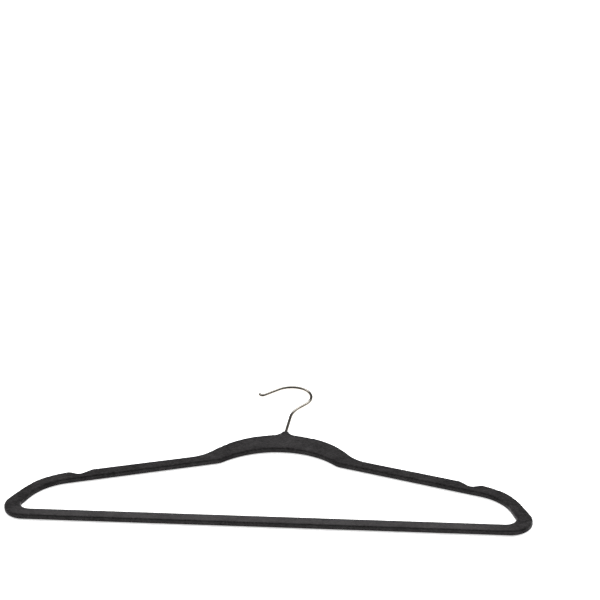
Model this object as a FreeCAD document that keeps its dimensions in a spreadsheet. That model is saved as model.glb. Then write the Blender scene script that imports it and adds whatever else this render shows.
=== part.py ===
import FreeCAD
import Part
import Sketcher
import math
import os
from FreeCAD import Vector

# Slim velvet clothes hanger, lying flat: +X runs along the bar, +Y from the bar to the hook,
# +Z is the thickness. Drawings measure y from the bar's lower edge and z from mid-thickness;
# every piece is then placed so that the origin is under the middle of the whole hanger.
DIMENSIONS = [
    ("overall_width", 450.0),
    ("overall_length", 234.0),
    ("thickness", 5.0),
    ("edge_round", 1.4),
    ("flock", 0.4),
    ("bar_width", 11.3),
    # outer edge: arch over the middle, hollow, shoulder, strap notch, drooping end, rounded tip
    ("outer_arch_radius", 73.6),
    ("outer_arch_centre_y", 72.5),
    ("outer_hollow_radius", 35.5),
    ("outer_slope", 17.4),
    ("lip_x", 159.4),
    ("lip_y", 78.1),
    ("lip_radius", 5.0),
    ("notch_x", 168.8),
    ("notch_y", 69.6),
    ("notch_radius", 6.0),
    ("stop_x", 178.1),
    ("stop_y", 72.6),
    ("stop_radius", 5.3),
    ("outer_end_x", 203.6),
    ("outer_end_y", 61.5),
    ("outer_end_radius", 58.0),
    ("tip_radius", 18.2),
    # inner edge
    ("inner_arch_radius", 70.0),
    ("inner_arch_centre_y", 52.5),
    ("inner_hollow_radius", 14.0),
    ("inner_slope", 18.0),
    ("inner_end_x", 197.8),
    ("inner_end_y", 53.3),
    ("inner_end_radius", 47.0),
    ("inner_tip_x", 216.0),
    ("inner_tip_radius", 9.0),
    # neck boss that the hook turns in
    ("neck_half_width", 2.65),
    ("neck_top", 151.8),
    ("neck_flank_radius", 9.0),
    # hook wire
    ("wire_dia", 2.8),
    ("stem_bottom", 129.0),
    ("lean_start", 154.7),
    ("lean_radius", 20.0),
    ("lean", 1.9),
    ("bend_radius", 30.0),
    ("slant", 38.0),
    ("loop_radius", 18.4),
    ("loop_centre_x", -3.1),
    ("mouth_angle", 132.0),
    ("mouth_length", 15.5),
    ("curl_radius", 2.7),
    ("curl_turn", 105.0),
    ("curl_end", 1.5),
    ("tip_round", 1.2),
    ("end_chamfer", 0.3),
    # waist rolled into the stem: the core's moulded collar runs in it and holds the hook
    ("waist_dia", 1.9),
    ("waist_bottom", 132.0),
    ("waist_length", 2.6),
    ("running_clearance", 0.05),
    ("end_float", 0.1),
    ("flock_clearance", 0.25),
]
D = dict(DIMENSIONS)
HALF_WIDTH = D["overall_width"] / 2
LOOP_CENTRE_Y = D["overall_length"] - D["wire_dia"] / 2 - D["loop_radius"]
LENGTH_TOLERANCE = 0.001
VOLUME_TOLERANCE = 0.02

doc = FreeCAD.newDocument("clothes_hanger")


def make_sheet():
    """The driving dimensions, in millimetres and degrees, one row each."""
    sheet = doc.addObject("Spreadsheet::Sheet", "Dims")
    for row, (alias, value) in enumerate(DIMENSIONS, 1):
        sheet.set(f"A{row}", alias.replace("_", " "))
        sheet.set(f"B{row}", str(value))
        sheet.setAlias(f"B{row}", alias)
    doc.recompute()


# ---- plane geometry -------------------------------------------------------------------------

def polar(degrees, length=1.0):
    """A vector of this length at this angle from +X."""
    return Vector(length * math.cos(math.radians(degrees)), length * math.sin(math.radians(degrees)), 0)


def left_of(direction):
    """The direction turned a quarter turn anticlockwise."""
    return Vector(-direction.y, direction.x, 0)


def line(start, end):
    heading = (end - start).normalize()
    return {"start": start, "end": end, "leaves": heading, "arrives": heading}


def arc(centre, start, end, turn):
    """An arc about centre; turn is 1 anticlockwise and -1 clockwise."""
    leaves = left_of((start - centre).normalize()) * turn
    arrives = left_of((end - centre).normalize()) * turn
    return {"start": start, "end": end, "leaves": leaves, "arrives": arrives,
            "centre": centre, "radius": (start - centre).Length, "turn": turn}


def crossing(first, first_heading, second, second_heading):
    """Where two lines, each a point and a heading, cross."""
    gap = second - first
    scale = first_heading.x * second_heading.y - first_heading.y * second_heading.x
    along = (gap.x * second_heading.y - gap.y * second_heading.x) / scale
    return first + first_heading * along


def corner_arc(before, corner, after, radius):
    """The arc that rounds the corner between two straight runs."""
    arriving = (corner - before).normalize()
    leaving = (after - corner).normalize()
    turn = 1 if arriving.cross(leaving).z > 0 else -1
    setback = radius * math.tan(arriving.getAngle(leaving) / 2)
    start = corner - arriving * setback
    centre = start + left_of(arriving) * turn * radius
    return arc(centre, start, corner + leaving * setback, turn)


def hollow_arc(arch_centre, arch_radius, radius, corner, slope):
    """The arc that leads from the arch into the straight shoulder through corner."""
    uphill = polar(180 - slope)
    base = corner + polar(90 - slope, radius) - arch_centre
    reach = arch_radius + radius
    middle = base.dot(uphill)
    along = -middle - math.sqrt(middle ** 2 - base.dot(base) + reach ** 2)
    centre = arch_centre + base + uphill * along
    start = arch_centre + (centre - arch_centre).normalize() * arch_radius
    return arc(centre, start, centre - polar(90 - slope, radius), 1)


def flank_arc(arch_centre, arch_radius, radius, start):
    """The arc that flares from the neck's top corner into the arch."""
    span = (start - arch_centre).Length
    reach = arch_radius + radius
    cosine = (span ** 2 + reach ** 2 - radius ** 2) / (2 * span * reach)
    bearing = math.atan2(start.y - arch_centre.y, start.x - arch_centre.x) - math.acos(cosine)
    centre = arch_centre + polar(math.degrees(bearing), reach)
    end = arch_centre + (centre - arch_centre).normalize() * arch_radius
    return arc(centre, start, end, 1)


# ---- sketches -------------------------------------------------------------------------------

class Drawing:
    """A sketch whose lines and arcs are chained end to end and dimensioned from the sheet."""

    def __init__(self, body, name, plane_role):
        self.sketch = body.newObject("Sketcher::SketchObject", name)
        plane = [p for p in body.Origin.OriginFeatures if p.Role == plane_role][0]
        self.sketch.AttachmentSupport = (plane, "")
        self.sketch.MapMode = "FlatFace"
        self.named = {}

    def add(self, piece, name=None):
        """Adds a line or an arc; its start and end are remembered in the order it is drawn."""
        if "centre" in piece:
            start = piece["start"] - piece["centre"]
            end = piece["end"] - piece["centre"]
            angles = [math.atan2(start.y, start.x), math.atan2(end.y, end.x)]
            ends = (1, 2) if piece["turn"] > 0 else (2, 1)
            first, last = angles if piece["turn"] > 0 else reversed(angles)
            circle = Part.Circle(piece["centre"], Vector(0, 0, 1), piece["radius"])
            shape = Part.ArcOfCircle(circle, first, last + (2 * math.pi if last < first else 0))
        else:
            ends = (1, 2)
            shape = Part.LineSegment(piece["start"], piece["end"])
        index = self.sketch.addGeometry(shape, False)
        if name:
            self.named[name] = index
        return {"index": index, "first": ends[0], "last": ends[1], "piece": piece}

    def chain(self, steps, closed):
        """Adds (name, piece) steps end to end, tangent wherever their headings agree."""
        added = [self.add(piece, name) for name, piece in steps]
        pairs = list(zip(added, added[1:] + added[:1])) if closed else list(zip(added, added[1:]))
        for one, two in pairs:
            smooth = one["piece"]["arrives"].dot(two["piece"]["leaves"]) > 1 - 1e-9
            kind = "Tangent" if smooth else "Coincident"
            joint = Sketcher.Constraint(kind, one["index"], one["last"], two["index"], two["first"])
            self.sketch.addConstraint(joint)
        return added

    def size(self, label, expression, kind, *where):
        """One driven dimension, bound to the sheet."""
        number = self.sketch.addConstraint(Sketcher.Constraint(kind, *where))
        self.sketch.renameConstraint(number, label)
        self.sketch.setExpression(f"Constraints.{label}", expression)

    def radius(self, name, expression):
        index = self.named[name]
        self.size(f"{name}_radius", expression, "Radius", index, self.sketch.Geometry[index].Radius)

    def place(self, label, index, position, point, x_expression=None, y_expression=None):
        """Holds a point of the sketch at a place measured from its origin."""
        if x_expression:
            self.size(f"{label}_x", x_expression, "DistanceX", -1, 1, index, position, point.x)
        if y_expression:
            self.size(f"{label}_y", y_expression, "DistanceY", -1, 1, index, position, point.y)

    def corner(self, name, point, runs):
        """A corner point that both of its straight runs pass through, placed from the sheet."""
        index = self.sketch.addGeometry(Part.Point(point), True)
        self.place(name, index, 1, point, f"Dims.{name}_x", f"Dims.{name}_y")
        for run in runs:
            self.sketch.addConstraint(Sketcher.Constraint("PointOnObject", index, 1, self.named[run]))
        self.radius(name, f"Dims.{name}_radius")


def draw_half_frame(body):
    """Half of the hanger's outline: the outer edge down to the bar, then back up the inner edge."""
    arch_centre = Vector(0, D["outer_arch_centre_y"], 0)
    inner_centre = Vector(0, D["inner_arch_centre_y"], 0)
    corners = {name: Vector(D[f"{name}_x"], D[f"{name}_y"], 0)
               for name in ("lip", "notch", "stop", "outer_end", "inner_end")}
    bar_top = D["bar_width"]
    inner_tip = Vector(D["inner_tip_x"], bar_top, 0)
    neck_corner = Vector(D["neck_half_width"], D["neck_top"], 0)

    # The outer tip's arc touches the overall width and the bar's lower edge; the end run is tangent.
    tip_centre = Vector(HALF_WIDTH - D["tip_radius"], D["tip_radius"], 0)
    reach = tip_centre - corners["outer_end"]
    bearing = math.atan2(reach.y, reach.x) + math.asin(D["tip_radius"] / reach.Length)
    end_heading = polar(math.degrees(bearing))
    outer_tip = crossing(corners["outer_end"], end_heading, Vector(0, 0, 0), Vector(1, 0, 0))

    flank = flank_arc(arch_centre, D["outer_arch_radius"], D["neck_flank_radius"], neck_corner)
    hollow = hollow_arc(arch_centre, D["outer_arch_radius"], D["outer_hollow_radius"],
                        corners["lip"], D["outer_slope"])
    steps = [("neck", line(Vector(0, D["neck_top"], 0), neck_corner)),
             ("flank", flank),
             ("arch", arc(arch_centre, flank["end"], hollow["start"], -1)),
             ("hollow", hollow)]
    route = [("shoulder", hollow["end"], "lip"), ("notch_fall", corners["lip"], "notch"),
             ("notch_rise", corners["notch"], "stop"), ("droop", corners["stop"], "outer_end"),
             ("end_run", corners["outer_end"], "tip"), ("bar_lower", outer_tip, None)]
    corners["tip"] = outer_tip
    steps += rounded_runs(route, corners, Vector(0, 0, 0))

    inner_hollow = hollow_arc(inner_centre, D["inner_arch_radius"], D["inner_hollow_radius"],
                              corners["inner_end"], D["inner_slope"])
    corners["inner_tip"] = inner_tip
    steps.append(("bar_cut", line(Vector(0, 0, 0), Vector(0, bar_top, 0))))
    route = [("bar_upper", Vector(0, bar_top, 0), "inner_tip"),
             ("inner_run", inner_tip, "inner_end"), ("inner_shoulder", corners["inner_end"], None)]
    steps += rounded_runs(route, corners, inner_hollow["end"])
    inner_top = inner_centre + Vector(0, D["inner_arch_radius"], 0)
    steps += [("inner_hollow", arc(inner_hollow["centre"], inner_hollow["end"], inner_hollow["start"], -1)),
              ("inner_arch", arc(inner_centre, inner_hollow["start"], inner_top, 1)),
              ("arch_cut", line(inner_top, Vector(0, D["neck_top"], 0)))]

    drawing = Drawing(body, "half_outline", "XY_Plane")
    added = dict(zip([name for name, _ in steps], drawing.chain(steps, closed=True)))
    constrain_half_frame(drawing, added, corners)
    return drawing.sketch


def rounded_runs(route, corners, finish):
    """Straight runs (name, start, name of the corner at its end) joined by the corners' arcs."""
    steps = []
    start = route[0][1]
    for number, (name, run_from, corner_name) in enumerate(route):
        if corner_name is None:
            steps.append((name, line(start, finish)))
            continue
        corner = corners[corner_name]
        following = route[number + 1][2]
        after = corners[following] if following else finish
        bend = corner_arc(run_from, corner, after, D[f"{corner_name}_radius"])
        steps += [(name, line(start, bend["start"])), (corner_name, bend)]
        start = bend["end"]
    return steps


def constrain_half_frame(drawing, added, corners):
    """The outline's dimensions, each bound to its cell."""
    sketch = drawing.sketch
    index = drawing.named
    for name in ("neck", "bar_lower", "bar_upper"):
        sketch.addConstraint(Sketcher.Constraint("Horizontal", index[name]))
    for name in ("bar_cut", "arch_cut"):
        sketch.addConstraint(Sketcher.Constraint("Vertical", index[name]))
    sketch.addConstraint(Sketcher.Constraint("Coincident", index["bar_cut"], 1, -1, 1))
    for name in ("arch", "inner_arch"):
        sketch.addConstraint(Sketcher.Constraint("PointOnObject", index[name], 3, -2))
    sketch.addConstraint(Sketcher.Constraint("PointOnObject", index["arch_cut"], 1, -2))
    neck = added["neck"]["piece"]["end"]
    drawing.place("neck_corner", index["neck"], 2, neck, "Dims.neck_half_width", "Dims.neck_top")
    drawing.radius("flank", "Dims.neck_flank_radius")
    for name, cell in (("arch", "outer_arch"), ("inner_arch", "inner_arch")):
        centre = added[name]["piece"]["centre"]
        drawing.place(f"{name}_centre", index[name], 3, centre, None, f"Dims.{cell}_centre_y")
        drawing.radius(name, f"Dims.{cell}_radius")
    drawing.radius("hollow", "Dims.outer_hollow_radius")
    drawing.radius("inner_hollow", "Dims.inner_hollow_radius")
    drawing.corner("lip", corners["lip"], ("shoulder", "notch_fall"))
    drawing.corner("notch", corners["notch"], ("notch_fall", "notch_rise"))
    drawing.corner("stop", corners["stop"], ("notch_rise", "droop"))
    drawing.corner("outer_end", corners["outer_end"], ("droop", "end_run"))
    drawing.corner("inner_end", corners["inner_end"], ("inner_run", "inner_shoulder"))
    tip_centre = added["tip"]["piece"]["centre"]
    drawing.place("tip_centre", index["tip"], 3, tip_centre, "Dims.overall_width / 2 - Dims.tip_radius")
    drawing.radius("tip", "Dims.tip_radius")
    bar_top = added["bar_upper"]["piece"]["start"]
    drawing.place("bar_top", index["bar_upper"], 1, bar_top, None, "Dims.bar_width")
    inner_tip = sketch.addGeometry(Part.Point(corners["inner_tip"]), True)
    drawing.place("inner_tip", inner_tip, 1, corners["inner_tip"], "Dims.inner_tip_x")
    for run in ("bar_upper", "inner_run"):
        sketch.addConstraint(Sketcher.Constraint("PointOnObject", inner_tip, 1, index[run]))
    drawing.radius("inner_tip", "Dims.inner_tip_radius")
    drawing.size("outer_slope", "-Dims.outer_slope", "Angle", index["shoulder"],
                 math.radians(-D["outer_slope"]))
    drawing.size("inner_slope", "180 - Dims.inner_slope", "Angle", index["inner_shoulder"],
                 math.radians(180 - D["inner_slope"]))


# ---- pieces ---------------------------------------------------------------------------------

def lift(piece):
    """Moves a finished piece from the drawings' datum to the hanger's own origin."""
    piece.setExpression(".Placement.Base.y", "-Dims.overall_length / 2")
    piece.setExpression(".Placement.Base.z", "Dims.thickness / 2")


def name_piece(piece, name):
    piece.Label = name
    lift(piece)
    return piece


def make_envelope():
    """The hanger's whole outer form, neck boss and all, with its long edges rounded."""
    body = doc.addObject("PartDesign::Body", "envelope")
    half = body.newObject("PartDesign::Pad", "half_frame")
    half.Profile = draw_half_frame(body)
    half.SideType = "Symmetric"
    half.setExpression("Length", "Dims.thickness")
    doc.recompute()

    whole = body.newObject("PartDesign::Mirrored", "whole_frame")
    whole.Originals = [half]
    centre_plane = [p for p in body.Origin.OriginFeatures if p.Role == "YZ_Plane"][0]
    whole.MirrorPlane = (centre_plane, [""])
    body.Tip = whole
    doc.recompute()

    rounded = body.newObject("PartDesign::Fillet", "rounded_frame")
    rounded.Base = (whole, [f"Edge{number}" for number in long_edges(whole.Shape, D["neck_top"])])
    rounded.setExpression("Radius", "Dims.edge_round")
    body.Tip = rounded
    doc.recompute()
    return body


def long_edges(shape, neck_end):
    """The numbers of the edges round both faces, except those of the neck's flat end."""
    numbers = []
    for number, edge in enumerate(shape.Edges, 1):
        box = edge.BoundBox
        on_a_face = box.ZLength < LENGTH_TOLERANCE
        on_neck_end = box.YMin > neck_end - LENGTH_TOLERANCE
        if on_a_face and not on_neck_end:
            numbers.append(number)
    return numbers


def neck_cylinder(name, radius, low, high):
    """A cylinder about the hook's axis, between two heights up the hanger."""
    cylinder = doc.addObject("Part::Cylinder", name)
    cylinder.Placement = FreeCAD.Placement(Vector(0, 0, 0), FreeCAD.Rotation(Vector(1, 0, 0), -90))
    cylinder.setExpression("Radius", radius)
    cylinder.setExpression("Height", f"({high}) - ({low})")
    cylinder.setExpression(".Placement.Base.y", low)
    return cylinder


def make_bore():
    """The space that the hook's stem turns in: wide, narrow at its waist, wide again."""
    wide = "Dims.wire_dia / 2 + Dims.running_clearance"
    narrow = "Dims.waist_dia / 2 + Dims.running_clearance"
    collar_low = "Dims.waist_bottom + Dims.end_float"
    collar_high = "Dims.waist_bottom + Dims.waist_length - Dims.end_float"
    floor = "Dims.stem_bottom - Dims.end_float"
    bore = doc.addObject("Part::MultiFuse", "bore")
    bore.Shapes = [neck_cylinder("bore_end", wide, floor, collar_low),
                   neck_cylinder("bore_waist", narrow, floor, "Dims.neck_top"),
                   neck_cylinder("bore_mouth", wide, collar_high, "Dims.neck_top")]
    return bore


def make_core_form(envelope):
    """The envelope less the flock all round: its outline moved inwards, thinner, rounded less."""
    frame = envelope.getObject("whole_frame")
    upper_face = max(frame.Shape.Faces, key=lambda face: face.CenterOfMass.z)
    outline = doc.addObject("Part::Feature", "core_outline")
    outline.Shape = upper_face.makeOffset2D(-D["flock"])
    outline.Placement = FreeCAD.Placement(Vector(0, 0, -D["thickness"] / 2), FreeCAD.Rotation())
    block = doc.addObject("Part::Extrusion", "core_block")
    block.Base = outline
    block.DirMode = "Custom"
    block.Dir = Vector(0, 0, 1)
    block.Solid = True
    block.Symmetric = True
    block.setExpression("LengthFwd", "Dims.thickness - 2 * Dims.flock")
    doc.recompute()
    form = doc.addObject("Part::Fillet", "core_form")
    form.Base = block
    radius = D["edge_round"] - D["flock"]
    form.Edges = [(number, radius, radius)
                  for number in long_edges(block.Shape, D["neck_top"] - D["flock"])]
    doc.recompute()
    return form


def make_core(inner_form):
    """The moulded core, with the bore that the hook turns in."""
    core = doc.addObject("Part::Cut", "core")
    core.Base = inner_form
    core.Tool = make_bore()
    return name_piece(core, "core")


def make_flock(envelope, inner_form):
    """The flock coat: everything between the core and the envelope, open round the stem."""
    skin = doc.addObject("Part::Cut", "skin")
    skin.Base = envelope
    skin.Tool = inner_form
    coat = doc.addObject("Part::Cut", "flock_coat")
    coat.Base = skin
    coat.Tool = neck_cylinder("stem_hole", "Dims.wire_dia / 2 + Dims.flock_clearance",
                              "Dims.neck_top - 2 * Dims.flock", "Dims.neck_top + Dims.flock")
    return name_piece(coat, "flock_coat")


def draw_hook_line(body):
    """The wire's centre line: stem, lean, shank, bend, slant, loop, mouth, curl and tip."""
    loop_centre = Vector(D["loop_centre_x"], LOOP_CENTRE_Y, 0)
    slant_heading = polar(90 - D["slant"])
    loop_start = loop_centre + polar(-D["slant"], D["loop_radius"])
    stem_start = Vector(0, D["stem_bottom"], 0)
    stem_end = Vector(0, D["lean_start"], 0)
    lean_centre = stem_end + Vector(D["lean_radius"], 0, 0)
    lean_end = lean_centre + polar(180 - D["lean"], D["lean_radius"])
    elbow = crossing(lean_end, polar(90 - D["lean"]), loop_start, slant_heading)
    bend = corner_arc(lean_end, elbow, loop_start, D["bend_radius"])
    loop_end = loop_centre + polar(D["mouth_angle"], D["loop_radius"])
    mouth_heading = polar(D["mouth_angle"] + 90)
    mouth_end = loop_end + mouth_heading * D["mouth_length"]
    curl_centre = mouth_end - left_of(mouth_heading) * D["curl_radius"]
    tip_heading = polar(D["mouth_angle"] + 90 - D["curl_turn"])
    curl_stop = curl_centre + left_of(tip_heading) * D["curl_radius"]
    steps = [("stem", line(stem_start, stem_end)),
             ("lean", arc(lean_centre, stem_end, lean_end, -1)),
             ("shank", line(lean_end, bend["start"])),
             ("bend", bend),
             ("slant", line(bend["end"], loop_start)),
             ("loop", arc(loop_centre, loop_start, loop_end, 1)),
             ("mouth", line(loop_end, mouth_end)),
             ("curl", arc(curl_centre, mouth_end, curl_stop, -1)),
             ("tip", line(curl_stop, curl_stop + tip_heading * D["curl_end"]))]

    drawing = Drawing(body, "hook_line", "XY_Plane")
    drawing.chain(steps, closed=False)
    index = drawing.named
    drawing.sketch.addConstraint(Sketcher.Constraint("Vertical", index["stem"]))
    drawing.sketch.addConstraint(Sketcher.Constraint("PointOnObject", index["stem"], 1, -2))
    drawing.place("stem", index["stem"], 1, stem_start, None, "Dims.stem_bottom")
    drawing.place("stem_end", index["stem"], 2, stem_end, None, "Dims.lean_start")
    drawing.place("loop", index["loop"], 3, loop_centre, "Dims.loop_centre_x",
                  "Dims.overall_length - Dims.wire_dia / 2 - Dims.loop_radius")
    for name in ("lean", "bend", "loop", "curl"):
        drawing.radius(name, f"Dims.{name}_radius")
    for name, turned in (("shank", "lean"), ("slant", "slant")):
        drawing.size(f"{name}_angle", f"90 - Dims.{turned}", "Angle", index[name],
                     math.radians(90 - D[turned]))
    drawing.size("mouth_angle", "Dims.mouth_angle - 270", "Angle", index["mouth"],
                 math.radians(D["mouth_angle"] - 270))
    drawing.size("mouth_length", "Dims.mouth_length", "Distance", index["mouth"], D["mouth_length"])
    drawing.size("tip_angle", "Dims.mouth_angle + 90 - Dims.curl_turn", "Angle", index["tip"],
                 math.radians(D["mouth_angle"] + 90 - D["curl_turn"]))
    drawing.size("tip_length", "Dims.curl_end", "Distance", index["tip"], D["curl_end"])
    return drawing.sketch


def make_hook():
    """The swivel hook: one bent wire with a rolled waist near its lower end."""
    body = doc.addObject("PartDesign::Body", "swivel_hook")
    spine = draw_hook_line(body)

    section = Drawing(body, "wire_section", "XZ_Plane")
    section.sketch.setExpression(".AttachmentOffset.Base.z", "-Dims.stem_bottom")
    circle = section.sketch.addGeometry(
        Part.Circle(Vector(0, 0, 0), Vector(0, 0, 1), D["wire_dia"] / 2), False)
    section.sketch.addConstraint(Sketcher.Constraint("Coincident", circle, 3, -1, 1))
    section.size("wire", "Dims.wire_dia", "Diameter", circle, D["wire_dia"])
    doc.recompute()

    wire = body.newObject("PartDesign::AdditivePipe", "wire")
    wire.Profile = section.sketch
    wire.Spine = spine
    body.Tip = wire
    doc.recompute()
    full_volume = wire.Shape.Volume

    cutter = Drawing(body, "waist_cutter", "XY_Plane")
    inner, outer = D["waist_dia"] / 2, D["wire_dia"]
    low, high = D["waist_bottom"], D["waist_bottom"] + D["waist_length"]
    corners = [Vector(inner, low, 0), Vector(outer, low, 0), Vector(outer, high, 0), Vector(inner, high, 0)]
    sides = list(zip(("low", "outside", "high", "inside"), corners, corners[1:] + corners[:1]))
    cutter.chain([(name, line(start, end)) for name, start, end in sides], closed=True)
    for name, kind in (("low", "Horizontal"), ("high", "Horizontal"),
                       ("outside", "Vertical"), ("inside", "Vertical")):
        cutter.sketch.addConstraint(Sketcher.Constraint(kind, cutter.named[name]))
    cutter.place("near", cutter.named["low"], 1, corners[0], "Dims.waist_dia / 2", "Dims.waist_bottom")
    cutter.place("far", cutter.named["high"], 1, corners[2], "Dims.wire_dia",
                 "Dims.waist_bottom + Dims.waist_length")
    waist = body.newObject("PartDesign::Groove", "waist")
    waist.Profile = cutter.sketch
    waist.ReferenceAxis = (cutter.sketch, ["V_Axis"])
    waist.Angle = 360
    body.Tip = waist
    doc.recompute()
    ring = math.pi * ((D["wire_dia"] / 2) ** 2 - inner ** 2) * D["waist_length"]
    removed = full_volume - waist.Shape.Volume
    if abs(removed - ring) > VOLUME_TOLERANCE * ring:
        raise ValueError(f"the waist removed {removed:.3f} mm3, not {ring:.3f} mm3")

    chamfer = body.newObject("PartDesign::Chamfer", "stem_chamfer")
    chamfer.Base = (waist, [end_circle(waist.Shape, spine.Geometry[0].StartPoint)])
    chamfer.setExpression("Size", "Dims.end_chamfer")
    body.Tip = chamfer
    doc.recompute()
    rounded = body.newObject("PartDesign::Fillet", "rounded_tip")
    rounded.Base = (chamfer, [end_circle(chamfer.Shape, spine.Geometry[-1].EndPoint)])
    rounded.setExpression("Radius", "Dims.tip_round")
    body.Tip = rounded
    return name_piece(body, "swivel_hook")


def end_circle(shape, point):
    """The full circle round the wire's flat end at this point of its centre line."""
    for number, edge in enumerate(shape.Edges, 1):
        whole = abs(edge.Length - math.pi * D["wire_dia"]) < LENGTH_TOLERANCE
        if isinstance(edge.Curve, Part.Circle) and whole:
            if (edge.Curve.Center - point).Length < LENGTH_TOLERANCE:
                return f"Edge{number}"
    raise ValueError(f"the wire has no flat end at {point}")


def check_and_write(pieces):
    """Stops on any failed object or bad shape, then writes one file for each piece."""
    doc.recompute()
    for item in doc.Objects:
        if "Invalid" in item.State or "Error" in item.State:
            raise ValueError(f"{item.Label} is {item.State}")
    os.makedirs("parts", exist_ok=True)
    for piece in pieces:
        shape = piece.Shape
        if shape.isNull() or not shape.isValid() or not shape.Solids:
            raise ValueError(f"{piece.Label} has no valid solid")
        shape.exportStep(f"parts/{piece.Label}.step")
        box = shape.BoundBox
        print(f"{piece.Label}: {len(shape.Solids)} solid, {shape.Volume:.1f} mm3, "
              f"x {box.XMin:.2f}..{box.XMax:.2f} y {box.YMin:.2f}..{box.YMax:.2f} "
              f"z {box.ZMin:.2f}..{box.ZMax:.2f}")


make_sheet()
envelope = make_envelope()
core_form = make_core_form(envelope)
core = make_core(core_form)
flock_coat = make_flock(envelope, core_form)
swivel_hook = make_hook()
check_and_write([core, flock_coat, swivel_hook])
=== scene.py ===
"""Looks of a slim velvet clothes hanger lying flat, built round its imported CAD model.

Metres throughout. +X runs along the trouser bar, +Y from the bar to the hook, +Z up from the floor.
The hook turns about the line x = 0 at mid-thickness, which is HOOK_AXIS below.
"""
import math

import bmesh
import bpy
from mathutils import Matrix, Vector, noise
from mathutils.bvhtree import BVHTree


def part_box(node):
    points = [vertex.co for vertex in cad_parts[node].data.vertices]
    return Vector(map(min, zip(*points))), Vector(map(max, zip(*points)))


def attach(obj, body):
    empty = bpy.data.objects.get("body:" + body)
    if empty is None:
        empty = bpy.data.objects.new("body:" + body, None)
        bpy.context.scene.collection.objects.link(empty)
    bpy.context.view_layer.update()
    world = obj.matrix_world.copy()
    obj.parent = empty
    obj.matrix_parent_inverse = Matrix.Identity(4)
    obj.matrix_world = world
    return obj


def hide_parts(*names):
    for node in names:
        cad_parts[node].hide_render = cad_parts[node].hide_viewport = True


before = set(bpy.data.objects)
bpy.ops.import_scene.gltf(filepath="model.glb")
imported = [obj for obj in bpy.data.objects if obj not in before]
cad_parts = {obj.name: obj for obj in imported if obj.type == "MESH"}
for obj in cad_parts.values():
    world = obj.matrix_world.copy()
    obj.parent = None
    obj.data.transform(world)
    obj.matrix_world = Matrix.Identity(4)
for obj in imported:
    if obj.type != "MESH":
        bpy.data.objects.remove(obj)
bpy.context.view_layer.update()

MM = 0.001
COAT_LOW, COAT_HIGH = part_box("flock_coat")
HOOK_LOW, HOOK_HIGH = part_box("swivel_hook")
NECK_TOP = COAT_HIGH.y
MID_THICKNESS = (COAT_LOW.z + COAT_HIGH.z) / 2
HOOK_AXIS = Vector((0, 0, MID_THICKNESS))


# ---- camera ---------------------------------------------------------------------------------

CAMERA_AZIMUTH = 7.836
CAMERA_ELEVATION = 28.43
CAMERA_ROLL = -2.213
CAMERA_DISTANCE = 3.4607
CAMERA_LENS = 222.0         # mm on a sensor 36 mm wide
AIM_BEHIND = 0.28375
AIM_LEFT = 0.01698


def make_camera():
    """A long lens from the front, a little to the right, with the hanger low in the picture."""
    camera = bpy.data.objects.new("camera", bpy.data.cameras.new("camera"))
    bpy.context.scene.collection.objects.link(camera)
    camera.data.lens = CAMERA_LENS
    camera.data.clip_end = 50
    azimuth, elevation = math.radians(CAMERA_AZIMUTH), math.radians(CAMERA_ELEVATION)
    back = Vector((math.sin(azimuth) * math.cos(elevation),
                   -math.cos(azimuth) * math.cos(elevation), math.sin(elevation)))
    aim = Vector((-AIM_LEFT, AIM_BEHIND, 0))
    turn = (-back).to_track_quat("-Z", "Y").to_matrix().to_4x4()
    roll = Matrix.Rotation(math.radians(CAMERA_ROLL), 4, "Z")
    camera.matrix_world = Matrix.Translation(aim + back * CAMERA_DISTANCE) @ turn @ roll
    bpy.context.scene.camera = camera


make_camera()


# ---- node helpers ---------------------------------------------------------------------------

class NodeTree:
    """A node tree in short calls: each adds a node and returns its output."""

    def __init__(self, owner):
        owner.use_nodes = True
        self.nodes = owner.node_tree.nodes
        self.links = owner.node_tree.links

    def connect(self, value, socket):
        """Puts a plain number in the socket, or links an output to it."""
        if isinstance(value, (int, float)):
            socket.default_value = value
        else:
            self.links.new(value, socket)

    def maths(self, operation, first, second):
        node = self.nodes.new("ShaderNodeMath")
        node.operation = operation
        self.connect(first, node.inputs[0])
        self.connect(second, node.inputs[1])
        return node.outputs["Value"]

    def ranged(self, value, low, high, new_low=0.0, new_high=1.0, smooth=False):
        """The value carried from one range to another, along a straight line or an easy curve."""
        node = self.nodes.new("ShaderNodeMapRange")
        node.interpolation_type = "SMOOTHSTEP" if smooth else "LINEAR"
        node.inputs["From Min"].default_value = low
        node.inputs["From Max"].default_value = high
        node.inputs["To Min"].default_value = new_low
        node.inputs["To Max"].default_value = new_high
        self.links.new(value, node.inputs["Value"])
        return node.outputs["Result"]


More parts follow.
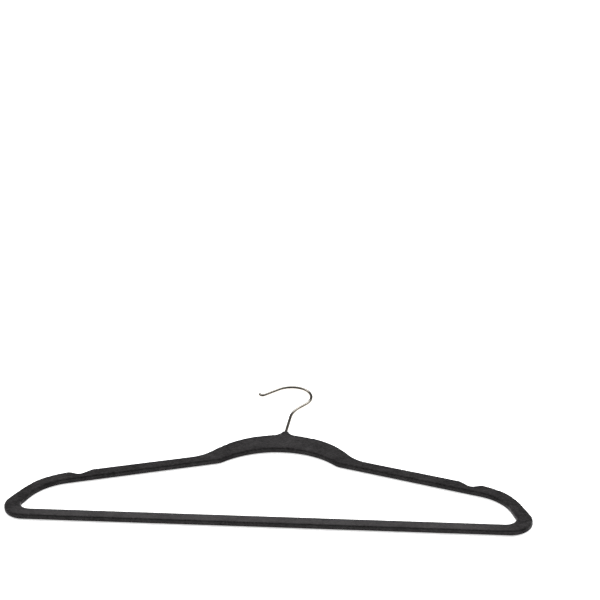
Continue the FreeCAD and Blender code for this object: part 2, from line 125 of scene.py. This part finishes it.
class Material(NodeTree):
    """A procedural material round one principled shader."""

    def __init__(self, name, **settings):
        self.data = bpy.data.materials.new(name)
        super().__init__(self.data)
        self.shader = self.nodes["Principled BSDF"]
        for socket, value in settings.items():
            self.shader.inputs[socket.replace("_", " ")].default_value = value
        self.place = self.nodes.new("ShaderNodeTexCoord").outputs["Object"]

    def noise(self, size, detail=2.0, roughness=0.5, at=None):
        """Noise from 0 to 1 whose patches are about this many metres across."""
        node = self.nodes.new("ShaderNodeTexNoise")
        node.inputs["Scale"].default_value = 1 / size
        node.inputs["Detail"].default_value = detail
        node.inputs["Roughness"].default_value = roughness
        self.links.new(at or self.place, node.inputs["Vector"])
        return node.outputs["Fac"]

    def attribute(self, name):
        """A number stored at the mesh's vertices."""
        node = self.nodes.new("ShaderNodeAttribute")
        node.attribute_name = name
        return node.outputs["Fac"]

    def attribute_vector(self, name, scale):
        """A vector stored at the mesh's vertices, scaled apart along each axis."""
        attribute = self.nodes.new("ShaderNodeAttribute")
        attribute.attribute_name = name
        node = self.nodes.new("ShaderNodeMapping")
        node.inputs["Scale"].default_value = scale
        self.links.new(attribute.outputs["Vector"], node.inputs["Vector"])
        return node.outputs["Vector"]

    def mixed(self, *parts):
        """The sum of (value, weight) parts."""
        weighted = [self.maths("MULTIPLY", value, weight) for value, weight in parts]
        total = weighted[0]
        for value in weighted[1:]:
            total = self.maths("ADD", total, value)
        return total

    def ramp(self, value, *stops):
        """A colour ramp through (position, (red, green, blue)) stops."""
        node = self.nodes.new("ShaderNodeValToRGB")
        elements = node.color_ramp.elements
        while len(elements) < len(stops):
            elements.new(0.5)
        for element, (position, colour) in zip(elements, stops):
            element.position = position
            element.color = (*colour, 1)
        self.links.new(value, node.inputs["Fac"])
        return node.outputs["Color"]

    def bump(self, height, distance, strength=1.0, under=None):
        """A bump of this height in metres, over the one under it."""
        node = self.nodes.new("ShaderNodeBump")
        node.inputs["Distance"].default_value = distance
        node.inputs["Strength"].default_value = strength
        self.links.new(height, node.inputs["Height"])
        if under:
            self.links.new(under, node.inputs["Normal"])
        return node.outputs["Normal"]

    def set(self, socket, value):
        """Links an output to one of the shader's own sockets."""
        self.links.new(value, self.shader.inputs[socket])


# ---- materials ------------------------------------------------------------------------------

def make_velvet():
    """Black flocked nylon: a dark pile, darkest seen end on and paler seen aslant."""
    velvet = Material("black_flock", Sheen_Weight=0.34, Sheen_Roughness=0.38,
                      Sheen_Tint=(0.98, 0.95, 0.97, 1), Specular_IOR_Level=0.15)
    nap = velvet.noise(14 * MM, detail=2)
    clumps = velvet.noise(2.2 * MM, detail=3, roughness=0.6)
    fibres = velvet.noise(0.20 * MM, detail=3, roughness=0.75)
    # the base colour is painted paler by the stored attribute: partly painted sheen and painted bounce
    # light
    tone = velvet.mixed((nap, 0.25), (clumps, 0.5), (fibres, 0.5), (velvet.attribute("paling_and_painted_light"), 0.4))
    velvet.set("Base Color", velvet.ramp(tone, (0.50, (0.0032, 0.0030, 0.0031)),
                                         (0.62, (0.0136, 0.0128, 0.0132)),
                                         (0.74, (0.0250, 0.0236, 0.0243)),
                                         (0.92, (0.0440, 0.0415, 0.0427))))
    velvet.set("Roughness", velvet.ranged(clumps, 0.3, 0.7, 0.86, 1.0))
    leaning = velvet.bump(nap, 2.2 * MM, 0.7)
    clumped = velvet.bump(clumps, 0.35 * MM, 0.8, leaning)
    velvet.set("Normal", velvet.bump(fibres, 0.10 * MM, 1.0, clumped))
    return velvet.data


def make_core_plastic():
    """Black injection-moulded ABS with a fine spark-eroded grain."""
    plastic = Material("moulded_abs", Specular_IOR_Level=0.45)
    grain = plastic.noise(0.35 * MM, detail=3)
    flow = plastic.noise(18 * MM, detail=1)
    plastic.set("Base Color", plastic.ramp(flow, (0.35, (0.011, 0.011, 0.012)),
                                           (0.65, (0.019, 0.019, 0.020))))
    plastic.set("Roughness", plastic.ranged(grain, 0.3, 0.7, 0.38, 0.56))
    plastic.set("Normal", plastic.bump(grain, 0.02 * MM))
    return plastic.data


def make_plated_wire():
    """Polished steel wire under a pale champagne-gold plating."""
    metal = Material("champagne_plating", Metallic=1.0)
    clouds = metal.noise(6 * MM, detail=3)
    drawn = metal.noise(0.16 * MM, detail=2, at=metal.attribute_vector("along_wire", (0.02, 1, 1)))
    specks = metal.noise(0.45 * MM, detail=4, roughness=0.7)
    metal.set("Base Color", metal.ramp(clouds, (0.32, (0.75, 0.695, 0.612)),
                                       (0.68, (0.83, 0.776, 0.695))))
    marks = metal.mixed((drawn, 0.6), (specks, 0.4))
    metal.set("Roughness", metal.ranged(marks, 0.3, 0.7, 0.05, 0.13))
    metal.set("Normal", metal.bump(drawn, 0.006 * MM, 0.5, metal.bump(clouds, 0.05 * MM, 0.5)))
    return metal.data


# ---- mesh helpers ---------------------------------------------------------------------------

def new_object(name, data):
    """A new object in the scene, round this mesh or lamp."""
    piece = bpy.data.objects.new(name, data)
    bpy.context.scene.collection.objects.link(piece)
    return piece


def applied(piece):
    """The piece's modifiers made part of its mesh."""
    bpy.context.view_layer.update()
    graph = bpy.context.evaluated_depsgraph_get()
    mesh = bpy.data.meshes.new_from_object(piece.evaluated_get(graph))
    piece.modifiers.clear()
    piece.data = mesh
    return piece


def surface_tree(mesh):
    """A search tree of a mesh's surface."""
    return BVHTree.FromPolygons([v.co for v in mesh.vertices], [list(p.vertices) for p in mesh.polygons])


def axis_cylinder(name, radius, low, high, sides=48):
    """A closed cylinder about the hook's axis, used only as a cutting tool."""
    tool = bmesh.new()
    along = Matrix.Translation((0, (low + high) / 2, MID_THICKNESS)) @ Matrix.Rotation(math.pi / 2, 4, "X")
    bmesh.ops.create_cone(tool, cap_ends=True, segments=sides, radius1=radius, radius2=radius,
                          depth=high - low, matrix=along)
    mesh = bpy.data.meshes.new(name)
    tool.to_mesh(mesh)
    tool.free()
    return new_object(name, mesh)


def cut(piece, tool):
    """Takes the tool's shape out of the piece."""
    modifier = piece.modifiers.new("cut", "BOOLEAN")
    modifier.operation = "DIFFERENCE"
    modifier.solver = "MANIFOLD"
    modifier.object = tool
    return applied(piece)


# ---- velvet coat ----------------------------------------------------------------------------

COAT_VOXEL = 0.64 * MM
COAT_THICKNESS = 0.4 * MM
BAR_WIDTH = 11.3 * MM
STEM_HOLE = 1.65 * MM
PILE_OCTAVES = ((22 * MM, 0.050 * MM), (5.5 * MM, 0.040 * MM), (1.9 * MM, 0.035 * MM))  # size, height
PALER_BAR_FACE = 0.56          # how much paler the pile is painted, by place: partly painted sheen and painted bounce light
PALER_NECK_FACE = 0.14
PAINTED_SHEEN_UPPER_EDGE = 0.5
PAINTED_BOUNCE_LOWER_WALL = 0.42
SMOOTHING = (0.5, -0.53)    # a step in, and a slightly larger step out again
SMOOTHING_ROUNDS = 20


def coat_envelope():
    """The coat's outer surface, closed over the stem's hole: its inner skin is dropped."""
    core = surface_tree(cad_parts["core"].data)
    skin = bmesh.new()
    skin.from_mesh(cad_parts["flock_coat"].data)
    bmesh.ops.remove_doubles(skin, verts=skin.verts, dist=0.0001 * MM)
    inner = []
    for face in skin.faces:
        middle = face.calc_center_median()
        on_core = core.find_nearest(middle)[3] < COAT_THICKNESS / 4
        from_axis = math.hypot(middle.x, middle.z - MID_THICKNESS)
        in_hole = middle.y > NECK_TOP - 3 * COAT_THICKNESS and from_axis < STEM_HOLE * 1.01
        if on_core or (in_hole and abs(face.normal.y) < 0.5):
            inner.append(face)
    bmesh.ops.delete(skin, geom=inner, context="FACES")
    rim = [edge for edge in skin.edges if edge.is_boundary]
    bmesh.ops.holes_fill(skin, edges=rim, sides=0)
    bmesh.ops.triangulate(skin, faces=skin.faces)
    bmesh.ops.recalc_face_normals(skin, faces=skin.faces)
    mesh = bpy.data.meshes.new("velvet_coat")
    skin.to_mesh(mesh)
    skin.free()
    return mesh


def eased(value, low, high):
    """0 at low and 1 at high, on an easy curve between them."""
    share = min(max((value - low) / (high - low), 0), 1)
    return share * share * (3 - 2 * share)


def pile_paling_and_painted_light(point, normal):
    """How much paler the pile is painted: most on the bar's face and a little on the neck's face, plus a
    painted sheen along the upper edges and painted bounce light from the floor on the lower walls.
    """
    on_bar = eased(point.y, COAT_LOW.y + 1.8 * BAR_WIDTH, COAT_LOW.y + 0.9 * BAR_WIDTH)
    on_bar *= eased(abs(point.x), COAT_HIGH.x, COAT_HIGH.x - 4 * BAR_WIDTH)
    at_neck = eased(point.y, 0, BAR_WIDTH) * eased(abs(point.x), 5 * BAR_WIDTH, BAR_WIDTH)
    face = eased(normal.z, 0.75, 0.98)
    # painted sheen: the upper, far-side edges are made paler, as the pile looks when seen aslant
    upper_edge = eased(normal.y, 0.15, 0.6) * eased(normal.z, 0.2, 0.6)
    # painted bounce light: the lower walls are made paler, as if lit from the white floor below
    lower_wall = eased(-normal.y, 0.75, 0.98)
    return ((PALER_BAR_FACE * on_bar + PALER_NECK_FACE * at_neck) * face
            + PAINTED_SHEEN_UPPER_EDGE * upper_edge + PAINTED_BOUNCE_LOWER_WALL * lower_wall)


def relaxed(mesh):
    """The mesh with its CAD facets smoothed away. Each smoothing's shrinkage is put back."""
    work = bmesh.new()
    work.from_mesh(mesh)
    for _ in range(SMOOTHING_ROUNDS):
        for factor in SMOOTHING:
            bmesh.ops.smooth_vert(work, verts=work.verts, factor=factor,
                                  use_axis_x=True, use_axis_y=True, use_axis_z=True)
    work.to_mesh(mesh)
    work.free()
    return mesh


def grow_pile(mesh):
    """Lays the remeshed surface back on the true one, then raises and lowers it like pile."""
    tree = surface_tree(coat_envelope())
    for vertex in mesh.vertices:
        vertex.co = tree.find_nearest(vertex.co)[0]
    relaxed(mesh).update()
    normals = [vertex.normal.copy() for vertex in mesh.vertices]
    # stores, for each vertex, how much paler the pile is painted, painted sheen and painted bounce light
    # included
    paling_and_painted_light = mesh.attributes.new("paling_and_painted_light", "FLOAT", "POINT")
    for vertex, normal in zip(mesh.vertices, normals):
        rise = sum(height * noise.noise(vertex.co / size) for size, height in PILE_OCTAVES)
        paling_and_painted_light.data[vertex.index].value = pile_paling_and_painted_light(vertex.co, normal)
        vertex.co += normal * rise
        vertex.co.z = max(vertex.co.z, 0.0)


def make_velvet_coat():
    """The flock as a thin shell round the core, with pile relief and a hole for the stem."""
    coat = new_object("velvet_coat", coat_envelope())
    remesh = coat.modifiers.new("remesh", "REMESH")
    remesh.mode = "VOXEL"
    remesh.voxel_size = COAT_VOXEL
    applied(coat)
    grow_pile(coat.data)
    coat.data.polygons.foreach_set("use_smooth", [True] * len(coat.data.polygons))
    stem_space = axis_cylinder("stem_space", STEM_HOLE, HOOK_LOW.y - MM, NECK_TOP + MM)
    core_form = new_object("core_form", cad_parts["core"].data.copy())
    for tool in (core_form, stem_space):
        cut(coat, tool)
        bpy.data.objects.remove(tool)
    coat.data.materials.clear()
    coat.data.materials.append(make_velvet())
    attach(coat, "hanger")
    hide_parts("flock_coat")


# ---- hook wire ------------------------------------------------------------------------------

WIRE_RADIUS = 1.4 * MM
LEAN_START = 2.9 * MM       # up from the neck's end, where the stem leaves its axis
LEAN_RADIUS = 20 * MM
LEAN = 1.9                  # degrees off the stem
BEND_RADIUS = 30 * MM
SLANT = 38                  # degrees off the stem
LOOP_RADIUS = 18.4 * MM
LOOP_CENTRE_X = -3.1 * MM
MOUTH_ANGLE = 132           # where the loop ends, degrees round its centre
MOUTH_LENGTH = 15.5 * MM
CURL_RADIUS = 2.7 * MM
CURL_TURN = 105             # degrees
CURL_END = 1.5 * MM
TIP_ROUND = 1.2 * MM
FOOT_CHAMFER = 0.3 * MM
WAIST_RADIUS = 0.95 * MM
WAIST_START = 3 * MM        # up from the stem's foot
WAIST_LENGTH = 2.6 * MM
WAIST_FLANK = 0.12 * MM
RING_SIDES = 40
RING_STEP = 0.35 * MM


def heading(degrees):
    """A unit vector in the hanger's plane, so many degrees from +X."""
    return Vector((math.cos(math.radians(degrees)), math.sin(math.radians(degrees)), 0))


def wire_stretches():
    """The wire's runs and arcs in order from the foot: (length, turn in degrees)."""
    lean, slant = math.radians(LEAN), math.radians(SLANT)
    stem_end = Vector((0, NECK_TOP + LEAN_START, 0))
    shank_start = stem_end + LEAN_RADIUS * Vector((1 - math.cos(lean), math.sin(lean), 0))
    loop_centre = Vector((LOOP_CENTRE_X, HOOK_HIGH.y - WIRE_RADIUS - LOOP_RADIUS, 0))
    loop_start = loop_centre + heading(-SLANT) * LOOP_RADIUS
    between = loop_start - shank_start
    to_elbow = between.cross(heading(90 - SLANT)).z / math.sin(lean - slant)
    from_elbow = (between - heading(90 - LEAN) * to_elbow).length
    setback = BEND_RADIUS * math.tan((slant - lean) / 2)

    def bent(radius, turn):
        """A stretch bent to this radius through this turn."""
        return radius * math.radians(abs(turn)), turn

    return [(stem_end.y - HOOK_LOW.y, 0), bent(LEAN_RADIUS, -LEAN), (to_elbow - setback, 0),
            bent(BEND_RADIUS, LEAN - SLANT), (from_elbow - setback, 0),
            bent(LOOP_RADIUS, MOUTH_ANGLE + SLANT), (MOUTH_LENGTH, 0),
            bent(CURL_RADIUS, -CURL_TURN), (CURL_END, 0)]


def wire_stations():
    """Points along the wire's centre line: (length so far, place, degrees of heading)."""
    place, angle, travelled = Vector((0, HOOK_LOW.y, MID_THICKNESS)), 90.0, 0.0
    stations = [(travelled, place.copy(), angle)]
    for length, turn in wire_stretches():
        steps = max(1, round(length / RING_STEP))
        for _ in range(steps):
            half_turn = turn / steps / 2
            chord = length / steps
            if turn:
                chord *= math.sin(math.radians(half_turn)) / math.radians(half_turn)
            place = place + heading(angle + half_turn) * chord
            angle += 2 * half_turn
            travelled += length / steps
            stations.append((travelled, place.copy(), angle))
    return stations


def wire_section(along, total):
    """The wire's radius at a length along it: chamfered foot, rolled waist, rounded tip."""
    radius = WIRE_RADIUS
    if along < FOOT_CHAMFER:
        radius -= FOOT_CHAMFER - along
    waist_end = WAIST_START + WAIST_LENGTH
    if WAIST_START <= along <= waist_end:
        depth = min(1, min(along - WAIST_START, waist_end - along) / WAIST_FLANK)
        radius -= (WIRE_RADIUS - WAIST_RADIUS) * depth
    from_tip = total - along
    if from_tip < TIP_ROUND:
        radius += math.sqrt(max(0, TIP_ROUND ** 2 - (TIP_ROUND - from_tip) ** 2)) - TIP_ROUND
    return radius


def wire_rings():
    """The stations that need a ring, with extra ones where the section changes quickly."""
    stations = wire_stations()
    total = stations[-1][0]
    waist_end = WAIST_START + WAIST_LENGTH
    steps = [FOOT_CHAMFER, WAIST_START, WAIST_START + WAIST_FLANK, waist_end - WAIST_FLANK, waist_end]
    steps += [total - TIP_ROUND * (1 - math.sin(math.radians(angle))) for angle in range(0, 90, 15)]
    for along in steps:
        before = max((s for s in stations if s[0] <= along), key=lambda s: s[0])
        after = min((s for s in stations if s[0] > along), key=lambda s: s[0])
        share = (along - before[0]) / (after[0] - before[0])
        if share > 0.001:
            angle = before[2] + share * (after[2] - before[2])
            stations.append((along, before[1].lerp(after[1], share), angle))
    return sorted(stations, key=lambda s: s[0]), total


def make_hook_wire():
    """The bent wire as a fine tube, with a stored length and girth for its drawing marks."""
    rings, total = wire_rings()
    wire = bmesh.new()
    marks = wire.verts.layers.float_vector.new("along_wire")
    loops = []
    for along, place, angle in rings:
        side = heading(angle - 90)
        radius = wire_section(along, total)
        loop = []
        for number in range(RING_SIDES):
            turn = 2 * math.pi * number / RING_SIDES
            outward = side * math.cos(turn) + Vector((0, 0, math.sin(turn)))
            vertex = wire.verts.new(place + radius * outward)
            vertex[marks] = (along, WIRE_RADIUS * math.cos(turn), WIRE_RADIUS * math.sin(turn))
            loop.append(vertex)
        loops.append(loop)
    for lower, upper in zip(loops, loops[1:]):
        for number in range(RING_SIDES):
            after = (number + 1) % RING_SIDES
            wire.faces.new((lower[number], lower[after], upper[after], upper[number]))
    wire.faces.new(list(reversed(loops[0])))
    wire.faces.new(loops[-1])
    bmesh.ops.recalc_face_normals(wire, faces=wire.faces)
    for face in wire.faces:
        face.smooth = len(face.verts) == 4
    mesh = bpy.data.meshes.new("hook_wire")
    wire.to_mesh(mesh)
    wire.free()
    hook = new_object("hook_wire", mesh)
    mesh.materials.append(make_plated_wire())
    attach(hook, "hook")
    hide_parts("swivel_hook")


# ---- core -----------------------------------------------------------------------------------

def dress_core():
    """The moulded core keeps its CAD shape and gets its plastic."""
    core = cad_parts["core"]
    core.data.materials.clear()
    core.data.materials.append(make_core_plastic())


make_velvet_coat()
make_hook_wire()
dress_core()


# ---- studio ---------------------------------------------------------------------------------

FLOOR_HALF = 9.0            # metres from the middle to each edge
TABLE_GLOW = 0.66           # the table is lit from below, so shadows on it stay faint
ROOM_DARK = 0.07            # the unlit walls, which give the wire its dark strokes
ROOM_BRIGHT = 1.25          # the lit parts: the ceiling behind the hanger, and the table
DIFFUSER_LOW = 38           # degrees of elevation of the diffuser's lower edge, behind the hanger
DIFFUSER_HIGH = 84          # and of its upper edge, nearly overhead
DIFFUSER_NEAR = 3.0         # metres from the hanger to either edge
DIFFUSER_WIDTH = 5.6        # metres
DIFFUSER_POWER = 190        # watts


def make_floor():
    """A plain white table top, large enough to fill the view."""
    mesh = bpy.data.meshes.new("floor")
    half = FLOOR_HALF
    mesh.from_pydata([(-half, -half, 0), (half, -half, 0), (half, half, 0), (-half, half, 0)],
                     [], [(0, 1, 2, 3)])
    floor = new_object("floor", mesh)
    paper = Material("floor_white", Roughness=1.0, Specular_IOR_Level=0.0,
                     Emission_Color=(1, 1, 1, 1), Emission_Strength=TABLE_GLOW)
    tone = paper.ramp(paper.noise(0.4), (0.3, (0.90, 0.90, 0.90)), (0.7, (0.92, 0.92, 0.92)))
    paper.set("Base Color", tone)
    mesh.materials.append(paper.data)
    floor.visible_glossy = False


def make_world():
    """White to look at. The wire mirrors dim walls, a bright ceiling behind and the table below."""
    world = bpy.data.worlds.new("studio")
    bpy.context.scene.world = world
    sky = NodeTree(world)
    split = sky.nodes.new("ShaderNodeSeparateXYZ")
    sky.links.new(sky.nodes.new("ShaderNodeTexCoord").outputs["Generated"], split.inputs["Vector"])
    height, depth = split.outputs["Z"], split.outputs["Y"]
    ceiling = sky.maths("MULTIPLY", sky.ranged(height, 0.56, 0.64, smooth=True),
                        sky.ranged(depth, 0.15, 0.5, smooth=True))
    nearer_is_lower = sky.ranged(depth, 0, -0.8, new_high=0.4, smooth=True)
    table = sky.ranged(sky.maths("ADD", height, nearer_is_lower), -0.08, -0.28, smooth=True)
    seen = sky.nodes.new("ShaderNodeLightPath").outputs["Is Camera Ray"]
    lit = sky.maths("MAXIMUM", sky.maths("ADD", ceiling, table), seen)
    background = sky.nodes["Background"]
    background.inputs["Color"].default_value = (1, 1, 1, 1)
    sky.links.new(sky.ranged(lit, 0, 1, ROOM_DARK, ROOM_BRIGHT), background.inputs["Strength"])


def make_diffuser():
    """A broad diffuser leaning over the hanger from behind, from low in the sky to overhead."""
    def edge(degrees):
        """The middle of the diffuser's edge at this elevation."""
        angle = math.radians(degrees)
        return Vector((0, math.cos(angle), math.sin(angle))) * DIFFUSER_NEAR

    low, high = edge(DIFFUSER_LOW), edge(DIFFUSER_HIGH)
    lamp = bpy.data.lights.new("diffuser", "AREA")
    lamp.shape = "RECTANGLE"
    lamp.size, lamp.size_y = DIFFUSER_WIDTH, (high - low).length
    lamp.energy = DIFFUSER_POWER
    light = new_object("diffuser", lamp)
    light.visible_glossy = False
    light.location = (low + high) / 2
    light.rotation_euler = (-light.location).to_track_quat("-Z", "Y").to_euler()


make_floor()
make_world()
make_diffuser()
bpy.context.scene.view_settings.view_transform = "Standard"
